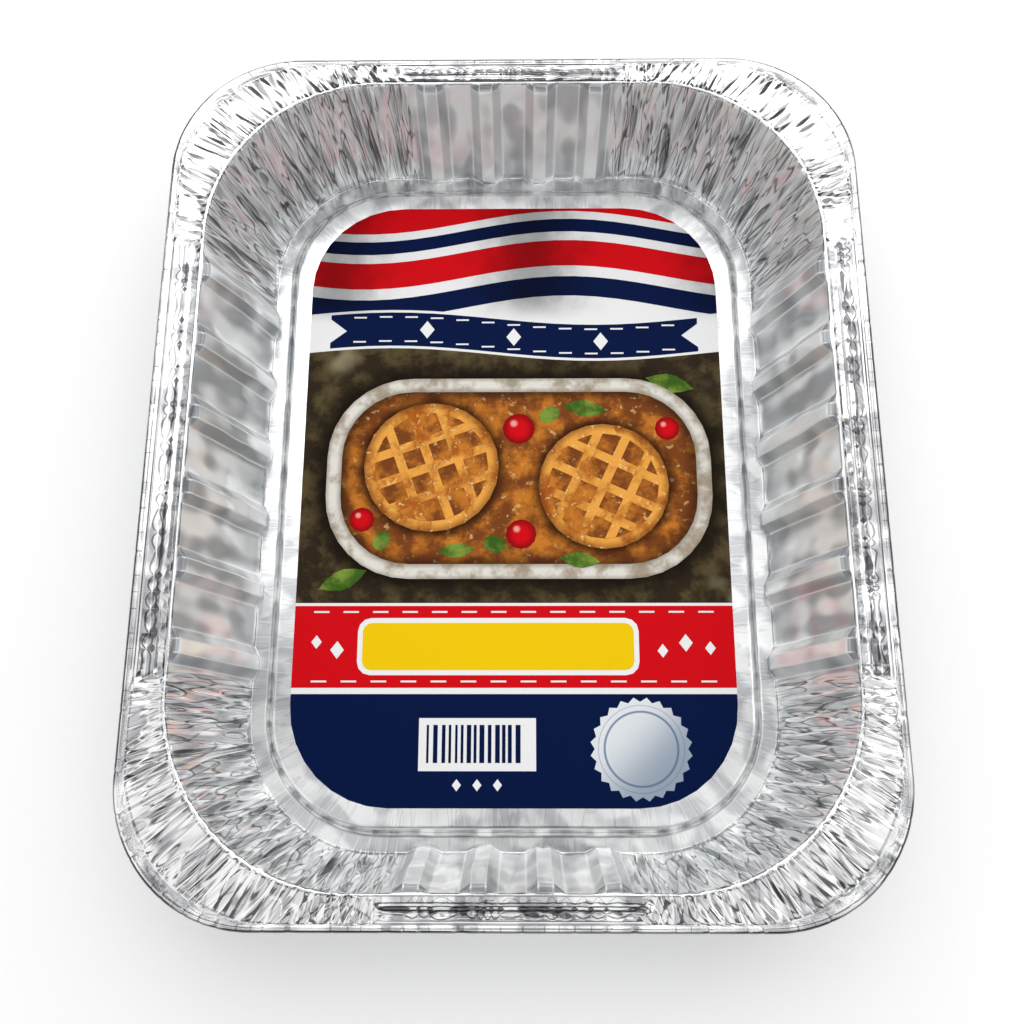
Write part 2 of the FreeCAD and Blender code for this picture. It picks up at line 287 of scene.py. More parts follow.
def waves(grain, spread, drift, terms=28):
    # uneven value about 0 that closes on itself round the pan; grain is its lumps' width in mm
    base = lap / (2 * grain)
    counts = np.round(base * chance.uniform(1 - spread, 1 + spread, terms))
    phases = chance.uniform(0, 2 * np.pi, terms)
    drifts = chance.normal(0, drift, terms)

    def value(down):
        down = np.asarray(down, float).reshape(-1, 1, 1)
        turn = 2 * np.pi * counts * around[:, None] / lap + phases + drifts * down
        return np.cos(turn).sum(axis=2) * math.sqrt(2 / terms)
    return value


def saw(phase):
    # sharp-edged wave between -1 and 1 with straight flanks
    return 4 * np.abs(phase - np.floor(phase) - 0.5) - 1


slowWarp = waves(9, 0.5, 2.0)
unevenness = waves(7, 0.6, 3.0)
dents = waves(16, 0.6, 4.0)
smallDents = waves(6, 0.5, 6.0)
crimps = waves(11, 0.5, 0.0)
ringDents = waves(10, 0.6, 1.5)
flangeSize = waves(14, 0.6, 4.0)

# nearest rib's push at each station: a flat face between two slanting flanks
ribShare = np.zeros(stationCount)
ribPlace = np.full(stationCount, 20.0)  # distance from the nearest rib's middle line, in mm
for quarter in range(4):
    centres = (sideRibs, endRibs)[quarter % 2]
    chosen = isSide & (quarters == quarter)
    offset = np.abs(along[chosen][:, None] - centres).min(axis=1)
    flank = (pan["ribBase"] - pan["ribFace"]) / 2
    ribShare[chosen] = np.clip((pan["ribBase"] / 2 - offset) / flank, 0, 1)
    ribPlace[chosen] = offset
pleatPhase = np.where(isSide, 0, turned * pan["pleats"])


def window(value, low, high, soft):
    # 1 between low and high, falling to 0 over soft at each end
    return np.clip((value - low) / soft, 0, 1) * np.clip((high - value) / soft, 0, 1)


def sharp(folds):
    # height in mm of three families of sharp folds: size times saw of phase, added up
    return sum(size * saw(phase) for phase, size in folds)


# corner pleats: how far they lean over the wall, where they fade at its top and foot, their least
# share of the full size there, and their uneven sizes
pleatShape = {"lean": 1.1, "topFade": 0.12, "foot": 0.99, "footFade": 0.14, "least": 0.06,
              "middle": 0.75, "uneven": 0.4, "sizes": (0.1, 1.5)}


def wallFolds(down):
    # corner pleats at a share of the way down the wall: long ones, and two leaning families
    # that cross and make lens shapes
    warp = slowWarp(down)
    lean = pleatShape["lean"] * (down - 0.5)
    top = np.clip(down / pleatShape["topFade"], 0, 1)
    body = top * np.clip((pleatShape["foot"] - down) / pleatShape["footFade"], 0, 1)
    middle, uneven = pleatShape["middle"], pleatShape["uneven"]
    size = np.clip(middle + uneven * unevenness(down), *pleatShape["sizes"])
    size = size * (pleatShape["least"] + (1 - pleatShape["least"]) * body)
    size = size * pan["pleatDepth"] * cornerShare
    other = np.clip(middle - uneven * unevenness(down + 0.3), *pleatShape["sizes"])
    return [(pleatPhase * 0.6 + 0.25 * warp, 0.55 * size),
            (pleatPhase + lean + 0.22 * warp, 0.55 * size),
            (pleatPhase * 0.9 - lean + 0.4 - 0.2 * warp, 0.5 * size * other)]


def wallPush(down, folds):
    # inward push in mm at a share of the way down the wall: ribs, corner pleats and dents
    depth = pan["mouthHeight"] - pan["footHeight"]
    top = np.clip(down * depth / pan["ribTop"], 0, 1)
    foot = np.clip((1 - down) * depth / pan["ribFoot"], 0, 1)
    rib = top * (pan["ribFootShare"] + (1 - pan["ribFootShare"]) * np.sqrt(foot))
    body = np.clip(down / 0.10, 0, 1) * np.clip((1.02 - down) / 0.12, 0, 1)
    dent = (0.7 * np.abs(dents(down)) + 0.3 * np.abs(smallDents(down)) - 0.6) * body
    return rib * pan["ribDepth"] * ribShare + sharp(folds) + (1 - cornerShare) * dent


def between(first, second, shares):
    shares = np.asarray(shares, float)
    return [a + (b - a) * shares for a, b in zip(first, second)]


def grown(ring, outward):
    return tuple(v + outward for v in ring)


ringInner = grown(pan["foot"], -pan["ringWidth"])
panelEdge = grown(ringInner, -pan["stepRun"])
# each row: x, y, height, crumple share, place across the pan (-1 foot, 0 mouth, 1 rim) and three
# folds, for every station
rows = []


def addRows(ring, height, push=0.0, crumple=0.0, across=-2.0, folds=None, side=0):
    x, y, outX, outY = ringPlaces(*ring)
    channels = [x - outX * push, y - outY * push, height, crumple, across]
    turn = 1 - 2 * side  # folds stand up from the upper face and sink into the lower one
    for phase, size in folds or [(0, 0)] * 3:
        channels += [phase, turn * size]
    rows.append(np.stack([np.broadcast_to(np.asarray(c, float), x.shape) for c in channels], axis=2))


def column(values):
    return np.asarray(values, float).reshape(-1, 1)


def addFloor(side, inset):
    insets = np.array(inset, float)
    ring = [v - insets for v in panelEdge]
    hollow = -0.02 * np.abs(ringDents(insets / 6))
    addRows(ring, pan["floorHeight"] - side * pan["wall"] + hollow, 0, 0.25)


def addStep(side, shares):
    # the raised panel's edge: half a cosine from the panel down to the foot ring
    shares = np.array(shares, float)
    rise = pan["floorHeight"] - pan["footHeight"]
    height = pan["footHeight"] + rise * (0.5 + 0.5 * np.cos(np.pi * np.clip(shares * 1.3, 0, 1)))
    wobble = 0.06 * ringDents(shares * 0.5) * np.sin(np.pi * shares.reshape(-1, 1))
    addRows(between(panelEdge, ringInner, shares), column(height) - side * pan["wall"], wobble, 0.2)


def addRing(side, shares):
    across = column(shares)
    lift = 0.03 * np.clip(smallDents(across * 0.4), 0, 2) * np.sin(np.pi * np.clip(across, 0, 1))
    foot = wallPush(1.0, wallFolds(1.0))
    push = foot * across ** 2 + 0.08 * ringDents(across * 0.3) * (1 - across)
    ring = between(ringInner, grown(pan["foot"], 0.75 * side * pan["wall"]), across)
    addRows(ring, pan["footHeight"] + lift - side * pan["wall"], push, 0.25)


def addWall(side, shares):
    down = column(shares)
    gap = side * pan["underGap"]
    ring = between(grown(pan["mouth"], gap), grown(pan["foot"], gap), down)
    height = pan["mouthHeight"] + (pan["footHeight"] - pan["mouthHeight"]) * down
    folds = wallFolds(down)
    addRows(ring, height, wallPush(down, folds), 0.06 + 0.94 * cornerShare, -down, folds, side)


def roundCount(straightPitch, cornerPitch):
    # phase that runs round the pan and grows by one each pitch, closing on a whole number
    density = (1 - cornerShare) / straightPitch + cornerShare / cornerPitch
    phase = np.concatenate([[0], np.cumsum(density * gaps)[:-1]])
    total = (density * gaps).sum()
    return phase * round(total) / total


crossCount = roundCount(pan["crimpPitch"], pan["cornerCrimp"])
longCount = roundCount(pan["tiePitch"], pan["cornerTie"])
crimpWarp = 0.5 * crimps(0)


def flangeFolds(outward):
    # faint crossing crimps on the straight strip, long lens shapes round the corners
    strip = window(outward, 0.04, 0.28, 0.06) + window(outward, 0.30, 0.69, 0.07)
    whole = np.clip(outward / 0.06, 0, 1) * np.clip((0.80 - outward) / 0.10, 0, 1)
    straight = (1 - cornerShare) * strip
    corner = cornerShare * whole
    lean = (2.3 * (1 - cornerShare) + 0.95 * cornerShare) * (outward - 0.5)
    uneven = np.clip(0.85 + 0.35 * flangeSize(outward), 0.3, 1.4)
    return [(longCount + crimpWarp, (0.05 * straight + 0.13 * corner) * uneven),
            (crossCount + lean + crimpWarp, (0.03 * straight + 0.21 * corner) * uneven),
            (crossCount - lean + 0.3 - crimpWarp, (0.03 * straight + 0.21 * corner) * uneven)]


def addFlange(side, shares):
    # lip beside the mouth, groove, crimped strip and dip before the rolled edge
    outward = column(shares)
    ring = between(pan["mouth"], pan["rim"], outward)
    folds = flangeFolds(outward)
    straight = np.interp(outward, pan["flangeShares"], pan["flangeHeights"])
    corner = np.interp(outward, pan["flangeShares"], pan["cornerHeights"])
    height = pan["mouthHeight"] + straight + cornerShare * (corner - straight) + sharp(folds)
    height = np.minimum(height, pan["mouthHeight"] - 0.02)
    addRows(ring, height - side * pan["underGap"], 0, 0.5 * cornerShare, outward, folds, side)


def addBead(side, degrees):
    # the rolled edge, pinched a little at its crimps
    angle = np.radians(column(degrees))
    crimp = np.clip(2 * saw(longCount + crimpWarp) - 1, 0, 1) ** 2
    radius = pan["beadRadius"] - side * pan["wall"] - pan["beadPinch"] * crimp * (1 - side)
    outer = [np.full(len(angle), v - pan["beadRadius"]) for v in pan["rim"]]
    height = pan["mouthHeight"] - pan["beadDrop"] + radius * np.sin(angle)
    # its outer side gets a crumple below 0, which the foil's material paints in shade
    paintedShadeSide = np.clip((62 - np.abs(np.degrees(angle))) / 12, 0, 1) * (1 - side)
    ties = [(longCount + crimpWarp, 0), (0, 0), (0, 0)]
    addRows(outer, height, -radius * np.cos(angle), -paintedShadeSide, 1, ties)


# upper face from the floor out to the end of the rolled edge
addFloor(0, [16, 11, 7, 4, 2, 0.8])
addStep(0, [0, 0.15, 0.3, 0.45, 0.6, 0.75, 0.9])
addRing(0, [0, 0.25, 0.5, 0.75, 0.92])
addWall(0, [1, 0.985, 0.965, 0.94, 0.90, 0.85, 0.79, 0.73, 0.67, 0.61, 0.55, 0.49, 0.43, 0.37,
            0.31, 0.25, 0.19, 0.14, 0.10, 0.06, 0.028, 0.014, 0.007])
addFlange(0, [0, 0.03, 0.065, 0.10, 0.13, 0.16, 0.20, 0.24, 0.28, 0.33, 0.37, 0.41, 0.45, 0.50,
              0.55, 0.59, 0.61, 0.63, 0.67, 0.71, 0.75, 0.78])
addBead(0, [115, 95, 75, 50, 25, 0, -25, -50, -80, -115, -150])
# lower face back to the floor
addBead(1, [-150, -90, -30, 30, 90])
addFlange(1, [0.75, 0.6, 0.45, 0.30, 0.15, 0.02])
addWall(1, [0.03, 0.12, 0.25, 0.4, 0.55, 0.7, 0.85, 0.96])
addRing(1, [1, 0])
addStep(1, [0.75, 0])
addFloor(1, [5])
rows = np.concatenate(rows, axis=0)
print("pan rows", len(rows), "stations", stationCount)


def gridPiece(name, points, attributes):
    # closed grid: rows wrap round, and one flat face closes each end
    count, width = points.shape[:2]
    mesh = bpy.data.meshes.new(name)
    first = np.arange((count - 1) * width).reshape(count - 1, width)
    after = np.roll(first, -1, axis=1)
    quads = np.stack([first, first + width, after + width, after], axis=2).reshape(-1, 4)
    caps = np.concatenate([np.arange(width), (count * width - 1) - np.arange(width)])
    corners = np.concatenate([quads.ravel(), caps])
    starts = np.concatenate([np.arange(len(quads)) * 4, len(quads) * 4 + np.array([0, width])])
    mesh.vertices.add(count * width)
    mesh.vertices.foreach_set("co", (points.reshape(-1, 3) / 1000).astype(np.float32).ravel())
    mesh.loops.add(len(corners))
    mesh.loops.foreach_set("vertex_index", corners.astype(np.int32))
    mesh.polygons.add(len(starts))
    mesh.polygons.foreach_set("loop_start", starts.astype(np.int32))
    mesh.update(calc_edges=True)
    mesh.validate()
    for key, values in attributes.items():
        if values.ndim == 3:
            mesh.attributes.new(key, "FLOAT_VECTOR", "POINT").data.foreach_set("vector", values.ravel())
            continue
        mesh.attributes.new(key, "FLOAT", "POINT").data.foreach_set("value", values.ravel())
    mesh.polygons.foreach_set("use_smooth", np.ones(len(mesh.polygons), bool))
    piece = bpy.data.objects.new(name, mesh)
    bpy.context.scene.collection.objects.link(piece)
    return piece


# place on the unrolled foil: round the pan on a circle as long as the mouth, and only a share of
# the way travelled across it, so that folds drawn there run long from the rolled edge to the foot
turnRound = 2 * np.pi * around / lap
rowGaps = np.linalg.norm(np.diff(rows[:, :, :3], axis=0), axis=2)
travelled = np.concatenate([np.zeros((1, stationCount)), np.cumsum(rowGaps, axis=0)]).mean(axis=1)
unrolled = np.stack(np.broadcast_arrays(np.cos(turnRound) * lap / (2 * np.pi),
                                        np.sin(turnRound) * lap / (2 * np.pi),
                                        travelled.reshape(-1, 1) * pan["unrolledShare"]), axis=2)
attributes = {"crumple": rows[:, :, 3], "unrolled": unrolled,
              "ribPlace": np.tile(ribPlace, (len(rows), 1)),
              "across": rows[:, :, 4],
              "foldPhases": rows[:, :, 5::2], "foldSizes": rows[:, :, 6::2]}
attributes = {key: np.ascontiguousarray(values, np.float32) for key, values in attributes.items()}
panPiece = gridPiece("foil_pan_pressed", rows[:, :, :3], attributes)
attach(panPiece, "root")
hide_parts("foil_pan")
print("pan made")


# the foil's own colour is plain: its light and dark colours and marks below are painted highlights and
# painted shade
foilLook = {
    "light": (0.93, 0.935, 0.94), "shade": (0.56, 0.565, 0.58),
    "foldLight": (0.93, 0.93, 0.935), "foldShade": (0.25, 0.255, 0.27),
    "paintedHighlight": (0.97, 0.97, 0.97), "paintedShadow": (0.08, 0.08, 0.09),
    "wallLight": (1.0, 1.0, 1.0), "wallShade": (0.46, 0.47, 0.485),
    "floorLight": (0.91, 0.915, 0.92), "floorShade": (0.62, 0.63, 0.65),
    "plainTint": (1.0, 1.0, 1.0), "wallTint": (0.958, 0.995, 0.995),
    "roughness": 0.13, "wallRoughness": 0.22, "floorHaze": 0.09,
    "wallMetal": 0.14, "pleatMetal": 0.38,
    "lumpGrain": 11.0, "stretchGrain": 7.0, "strokeGrain": 2.6,  # lumps' widths in mm
    "wallLumps": 0.85, "groundLumps": 0.10, "otherLumps": 0.04,  # lumps' heights in mm
    "pleatLumps": 1.4, "foldHeight": 0.35, "wallFoldHeight": 0.4,
    "foldWobble": 0.15, "pleatWobble": 0.7,
    "fineHighlightPlace": 0.53, "fineShadowPlace": 0.44, "strokePlace": 0.44,
    "softShare": 0.45, "stretchedShare": 0.55,
    "endWallPaintedLight": 0.25, "wallFacetShadeLift": 0.40, "facetShadeLift": 0.04,
    "ribFoot": 6.4,  # from a rib's middle to where its flank ends, in mm
    "lightCore": 0.5, "darkCore": 0.4,
}
# where each soft edge starts and ends: across the pan as on the rows, from a rib's middle or along
# the pan in mm, or in the mark's own value
foilEdges = {
    "wall": (0.0, 0.03), "wallFoot": (0.93, 1.0), "ground": (1.0, 1.1), "endWall": (98.0, 118.0),
    "foldSize": (0.015, 0.16), "paintedHighlight": (0.82, 0.96), "paintedShadow": (0.82, 0.95), "folded": (0.10, 0.30),
    "flankTop": (2.2, 3.0), "flankFoot": (5.4, 6.4), "ribEdgeHighlight": (0.12, 0.42), "ribFace": (1.8, 2.8),
    "betweenRibs": (5.5, 7.5), "ribMouth": (4.2, 6.0), "underMouth": (0.001, 0.006),
    "underMouthEnd": (0.024, 0.034), "towardsFoot": (0.45, 0.90),
    "bead": (0.1, 0.9), "gathered": (0.1, 0.4), "gathers": (0.1, 0.5), "gathersEnd": (0.76, 0.84),
    "fineHighlight": (0.02, 0.06), "fineShadow": (0.012, 0.045), "strokes": (0.0, 0.05),
    "cloud": (0.41, 0.57), "wallCloud": (0.38, 0.61), "floorCloud": (0.42, 0.60),
    "row": (1.0, 1.1), "outline": (0.05, 0.17), "cell": (0.0, 0.12), "cellShade": (0.0, 0.04),
    "diamond": (0.0, 0.2), "besideCells": (0.46, 0.54), "spineHighlight": (0.03, 0.12),
    "innerStart": (0.05, 0.08), "innerEnd": (0.23, 0.27), "zigzag": (0.04, 0.14),
    "tie": (0.90, 0.95), "tieStart": (0.86, 0.92),
}
# painted highlights and painted shadows along thin lines pressed into the foil: middle and half width,
# across the pan or in mm above what the pan stands on
highlightLines = {"lip": (0.02, 0.022), "rowInside": (0.285, 0.014), "rowOutside": (0.705, 0.018),
              "dip": (0.80, 0.016), "stepFoot": (0.62, 0.13), "stepTop": (1.46, 0.10)}
shadowLines = {"lip": (0.060, 0.020), "rowInside": (0.320, 0.014), "mouth": (-0.012, 0.010),
             "dip": (0.755, 0.025), "step": (0.95, 0.10)}
# the row of cells on the straight strip: its middle across the pan, how far it wanders, and how many
# half widths of the row are in one unit across
cells = {"middle": 0.50, "wander": 0.12, "perUnit": 5.2, "least": 0.22, "spread": 0.62,
         "shadeSide": 0.52, "diamondMiddle": 0.38, "diamondPerUnit": 9, "diamondLength": 1.6,
         "zigzagStart": 0.05, "zigzagPerUnit": 4.5}
# how strongly each painted shadow or painted highlight darkens or lightens the foil
darkShares = {"paintedShadow": 0.35, "wallPaintedShadow": 0.3, "fine": 0.4, "wallFine": 0.3, "beadSideShade": 0.85,
              "lines": 0.45, "outline": 0.65, "besidePinch": 0.9, "cellShade": 0.35, "inner": 0.6,
              "ties": 0.5, "rowInside": 0.5, "most": 0.9}
lightShares = {"paintedHighlight": 0.8, "ribEdgeHighlight": 0.8, "spineHighlight": 0.7, "rowInside": 0.4, "all": 0.85}


def softEdge(value, key):
    return value.step(*foilEdges[key])


def pressedLine(value, place, core):
    # 1 along a thin line and over its core, a share of its half width, fading to 0 at that width
    middle, width = place
    return 1 - (value - middle).size().step(width * core, width)


def highlightLine(value, key):
    return pressedLine(value, highlightLines[key], foilLook["lightCore"])


def shadowLine(value, key):
    return pressedLine(value, shadowLines[key], foilLook["darkCore"])


def sharpFolds(phases, sizes, stretched, gather, wall):
    # the mesh's three families of folds once more, with sharp edges: height in mm, a ramp of painted
    # shade over each fold, painted highlights along the crests and painted shadows in the valleys
    height, facetShade, paintedHighlight, paintedShadow = 0.0, 0.5, 0.0, 0.0
    for phase, size in zip(phases, sizes):
        wobble = phase + (stretched - 0.5) * (gather * foilLook["pleatWobble"] + foilLook["foldWobble"])
        wave = wobble.saw()
        strength = softEdge(size.size(), "foldSize")
        height = size * wave * (wall * foilLook["wallFoldHeight"] + foilLook["foldHeight"]) + height
        facetShade = (wobble.maths("FRACT") - 0.5) * strength + facetShade
        paintedHighlight = softEdge(wave, "paintedHighlight") * strength + paintedHighlight
        paintedShadow = softEdge(0 - wave, "paintedShadow") * strength + paintedShadow
    return height, facetShade, paintedHighlight, paintedShadow


def stripCells(across, pinch, soft, stretched, straight):
    # lens shaped cells in a row along the straight strip, between its pinches: painted shade round
    # them, beside the pinches and over one half of each, and a painted highlight along their middles
    cellWidth = (1 - pinch * pinch) * (cells["least"] + soft * cells["spread"])
    wander = (stretched - 0.5) * cells["wander"]
    offRow = ((across - cells["middle"] + wander) * cells["perUnit"]).size()
    inRow = (1 - softEdge(offRow, "row")) * straight
    outline = (1 - softEdge((offRow - cellWidth).size(), "outline")) * inRow
    inside = softEdge(cellWidth - offRow, "cell") * inRow
    cellShade = inside * softEdge(cells["shadeSide"] - across, "cellShade")
    offDiamond = ((across - cells["diamondMiddle"]) * cells["diamondPerUnit"]).size()
    diamond = softEdge(soft * 1.5 + 0.2 - offDiamond - (1 - pinch) * cells["diamondLength"], "diamond")
    besidePinch = (diamond + (1 - inside) * softEdge(soft, "besideCells") * 0.35) * inRow
    spineHighlight = (1 - softEdge(offRow, "spineHighlight")) * inRow
    dark = (outline * darkShares["outline"] + besidePinch * darkShares["besidePinch"]
            + cellShade * darkShares["cellShade"])
    return dark, spineHighlight * lightShares["spineHighlight"]


def innerStrip(across, pinch, strokes, straight):
    # painted shade along a zigzag and short strokes between the lip and the row of cells, and along
    # ties over the rolled edge
    inner = softEdge(across, "innerStart") * (1 - softEdge(across, "innerEnd")) * straight
    offZigzag = (pinch - (across - cells["zigzagStart"]) * cells["zigzagPerUnit"]).size()
    short = softEdge(foilLook["strokePlace"] - strokes, "strokes")
    innerShade = inner * ((1 - softEdge(offZigzag, "zigzag")) * 0.5 + short * 0.6)
    ties = softEdge(pinch, "tie") * softEdge(across, "tieStart")
    return innerShade * darkShares["inner"] + ties * darkShares["ties"]


def foilMaterial():
    look = Shader("pressed_foil")
    place = look.place()
    _, y, z = look.parts(place)
    crumple = look.node("Attribute", {"attribute_name": "crumple"}, output=2)
    across = look.node("Attribute", {"attribute_name": "across"}, output=2)
    ribPlace = look.node("Attribute", {"attribute_name": "ribPlace"}, output=2)
    unrolled = look.node("Attribute", {"attribute_name": "unrolled"}, output=1)
    phases = look.parts(look.node("Attribute", {"attribute_name": "foldPhases"}, output=1))
    sizes = look.parts(look.node("Attribute", {"attribute_name": "foldSizes"}, output=1))
    soft = look.noise(place, foilLook["lumpGrain"])
    stretched = look.noise(unrolled, foilLook["stretchGrain"])
    strokes = look.noise(unrolled, foilLook["strokeGrain"])
    # where the point is: on a wall, on the floor, on an end wall, where the foil gathers or straight
    down = 0 - across
    wall = softEdge(down, "wall") * (1 - softEdge(down, "wallFoot"))
    ground = softEdge(down, "ground")
    endWall = softEdge(y.size(), "endWall")
    gather = crumple.maths("MAXIMUM", 0.0)
    straight = 1 - softEdge(gather, "gathered")
    # height in mm: wide lumps on the flat walls, sharp folds where the foil gathers
    foldHeight, facetShade, paintedHighlight, paintedShadow = sharpFolds(phases, sizes, stretched, gather, wall)
    lumps = wall * foilLook["wallLumps"] + ground * foilLook["groundLumps"] + foilLook["otherLumps"]
    pleatLumps = wall * gather * (stretched - 0.5).size() * foilLook["pleatLumps"]
    height = soft * lumps + pleatLumps + foldHeight
    # ribs: painted shade on their slanting flanks and on the small facet under the mouth, painted
    # highlights along their edges
    flank = softEdge(ribPlace, "flankTop") * (1 - softEdge(ribPlace, "flankFoot")) * wall
    offFace = (ribPlace - pan["ribFace"] / 2).size()
    offFoot = (ribPlace - foilLook["ribFoot"]).size()
    ribEdgeHighlight = 1 - softEdge(offFace.maths("MINIMUM", offFoot), "ribEdgeHighlight")
    underMouth = softEdge(down, "underMouth") * (1 - softEdge(down, "underMouthEnd"))
    ribTop = (1 - softEdge(ribPlace, "ribMouth")) * underMouth
    # painted highlights and painted shadows along fine creases where the foil gathers: contour lines of
    # stretched noise close into lens shapes
    gathers = softEdge(gather, "gathers") * (1 - softEdge(across, "gathersEnd"))
    fineHighlight = (1 - softEdge((strokes - foilLook["fineHighlightPlace"]).size(), "fineHighlight")) * gathers
    fineShadow = (1 - softEdge((strokes - foilLook["fineShadowPlace"]).size(), "fineShadow")) * gathers
    pinch = (phases[0].saw() + 1) * 0.5
    stripShade, stripHighlight = stripCells(across, pinch, soft, stretched, straight)
    # painted highlights and painted shadows along thin lines pressed all round the foil, and beside the
    # straight strip's row of cells
    lines = (highlightLine(across, "lip") + highlightLine(across, "dip")
             + highlightLine(across, "rowInside") * straight * lightShares["rowInside"]
             + highlightLine(across, "rowOutside") * straight
             + highlightLine(z, "stepFoot") + highlightLine(z, "stepTop"))
    shadows = (shadowLine(across, "lip") + shadowLine(across, "mouth")
               + shadowLine(across, "rowInside") * straight * darkShares["rowInside"]
               + shadowLine(across, "dip") + shadowLine(z, "step"))
    # colours: clouded patches of painted highlight and painted shade on the flange, the walls and the
    # floor; the end walls painted lighter
    cloud = soft * foilLook["softShare"] + stretched * foilLook["stretchedShare"]
    colour = look.mix(softEdge(cloud, "cloud"), foilLook["light"], foilLook["shade"])
    wallColour = look.mix(softEdge(cloud, "wallCloud") - endWall * foilLook["endWallPaintedLight"],
                          foilLook["wallLight"], foilLook["wallShade"])
    floorColour = look.mix(softEdge(soft, "floorCloud"), foilLook["floorLight"], foilLook["floorShade"])
    colour = look.mix(ground, look.mix(wall, colour, wallColour), floorColour)
    # painted shade on the flats between the ribs towards the foot, and a painted highlight on the ribs'
    # faces there and on the end walls' ribs
    towardsFoot = softEdge(down, "towardsFoot") * wall * (1 - gather)
    footShadeOnFlats = towardsFoot * softEdge(ribPlace, "betweenRibs") * 0.5
    colour = look.mix(footShadeOnFlats, colour, foilLook["foldShade"])
    faceHighlight = (towardsFoot * 0.7 + endWall * wall * 0.3) * (1 - softEdge(ribPlace, "ribFace"))
    colour = look.mix(faceHighlight, colour, foilLook["paintedHighlight"])
    # folds: a ramp of painted shade over each, then painted shadows and painted highlights, among them
    # painted shade on the rolled edge's outer side
    folded = look.mix(facetShade + wall * foilLook["wallFacetShadeLift"] + foilLook["facetShadeLift"],
                      foilLook["foldShade"], foilLook["foldLight"])
    gathered = softEdge(sizes[0].size() + sizes[1].size() + sizes[2].size(), "folded")
    colour = look.mix(gathered * (wall * 0.45 + 0.45), colour, folded)
    # painted shade on the ribs' flanks and on the facet under the mouth
    colour = look.mix(flank * 0.45 + ribTop * 0.7, colour, foilLook["foldShade"])
    dark = (paintedShadow * (wall * darkShares["wallPaintedShadow"] + darkShares["paintedShadow"])
            + fineShadow * (wall * darkShares["wallFine"] + darkShares["fine"])
            + softEdge(0 - crumple, "bead") * darkShares["beadSideShade"] + shadows * darkShares["lines"]
            + stripShade + innerStrip(across, pinch, strokes, straight))
    colour = look.mix(dark.maths("MINIMUM", darkShares["most"]), colour, foilLook["paintedShadow"])
    bright = (paintedHighlight * lightShares["paintedHighlight"] + fineHighlight + ribEdgeHighlight * wall * lightShares["ribEdgeHighlight"]
              + lines + stripHighlight)
    colour = look.mix(bright.maths("MINIMUM", 1.0) * lightShares["all"], colour, foilLook["paintedHighlight"])
    # the walls lose the red that the card's print throws on them
    tint = look.mix(wall, foilLook["plainTint"], foilLook["wallTint"])
    colour = look.node("VectorMath", {"operation": "MULTIPLY"}, i0=colour, i1=tint)
    lessMetal = 1 - foilLook["wallMetal"] - gather * (foilLook["pleatMetal"] - foilLook["wallMetal"])
    look.set(Base_Color=colour, Metallic=1 - wall * lessMetal,
             Roughness=foilLook["roughness"] + ground * foilLook["floorHaze"]
             + wall * (foilLook["wallRoughness"] - foilLook["roughness"]),
             Normal=look.bump(height, 1.0, 0.001))
    return look.material


panPiece.data.materials.append(foilMaterial())

inks = {
    "label_sheet": (0.905, 0.905, 0.905),
    "print_red": (0.68, 0.003, 0.008),
    "print_navy": (0.001, 0.008, 0.055),
    "print_white": (0.905, 0.905, 0.905),
    "print_yellow": (0.94, 0.61, 0.003),
    "print_dark": (0.030, 0.020, 0.011),
    "print_cream": (0.80, 0.77, 0.70),
    "print_orange": (0.88, 0.40, 0.07),
    "print_brown": (0.20, 0.055, 0.012),
    "print_green": (0.045, 0.12, 0.012),
    "print_silver": (0.80, 0.83, 0.86),
}
# the picture's second tones, which cloud the first ones
tones = {
    "print_dark": (0.095, 0.070, 0.030),
    "print_cream": (0.40, 0.33, 0.25),
    "print_orange": (0.42, 0.11, 0.014),
    "print_brown": (0.60, 0.20, 0.025),
    "print_green": (0.22, 0.32, 0.05),
}
# shades that are mixed into one ink or another
inkShades = {
    "farBlur": (0.42, 0.36, 0.22), "besideDish": (0.008, 0.005, 0.003), "rimSide": (0.22, 0.17, 0.12),
    "glaze": (0.85, 0.55, 0.22), "besidePie": (0.02, 0.006, 0.002), "insideDish": (0.03, 0.010, 0.004),
    "crustRim": (0.17, 0.04, 0.008), "crustSpots": (0.93, 0.66, 0.28),
    "tomatoRim": (0.16, 0.002, 0.003), "tomatoShine": (0.95, 0.50, 0.40),
    "sealSweep": (0.32, 0.39, 0.48), "sealRings": (0.10, 0.16, 0.28),
}
inkFinish = {"roughness": 0.5, "roughnessGrain": 0.05, "shine": 0.04}
# lumps' widths in mm
inkGrains = {"card": 0.6, "cloud": 9.0, "farBlur": 16.0, "glaze": 3.0, "crustSpots": 2.2}
# half width, half length, corner radius and middle of the printed dish, in mm
dishPlace = {"half": (77.0, 41.9), "radius": 33.8, "middle": (2.03, 3.98)}
piePlaces = [(-33.0, 8.0, 27.1), (36.0, 0.0, 26.0)]
tomatoPlaces = [(2.0, 24.0, 6.5), (3.0, -20.0, 6.0), (-60.1, -14.0, 5.0), (62.0, 24.0, 5.0)]
sealPlace = (47.8, -102.7, 18.3)


def fromDish(look, x, y):
    # distance in mm outside the dish's edge, below 0 within it
    parts = []
    for value, half, middle in zip((x, y), dishPlace["half"], dishPlace["middle"]):
        beyond = (value - middle).size() - (half - dishPlace["radius"])
        parts.append(beyond.maths("MAXIMUM", 0.0))
    return (parts[0] * parts[0] + parts[1] * parts[1]).root() - dishPlace["radius"]


def fromSpot(x, y, spot):
    # distance from a spot's middle as a share of its radius
    return ((x - spot[0]) * (x - spot[0]) + (y - spot[1]) * (y - spot[1])).root() / spot[2]


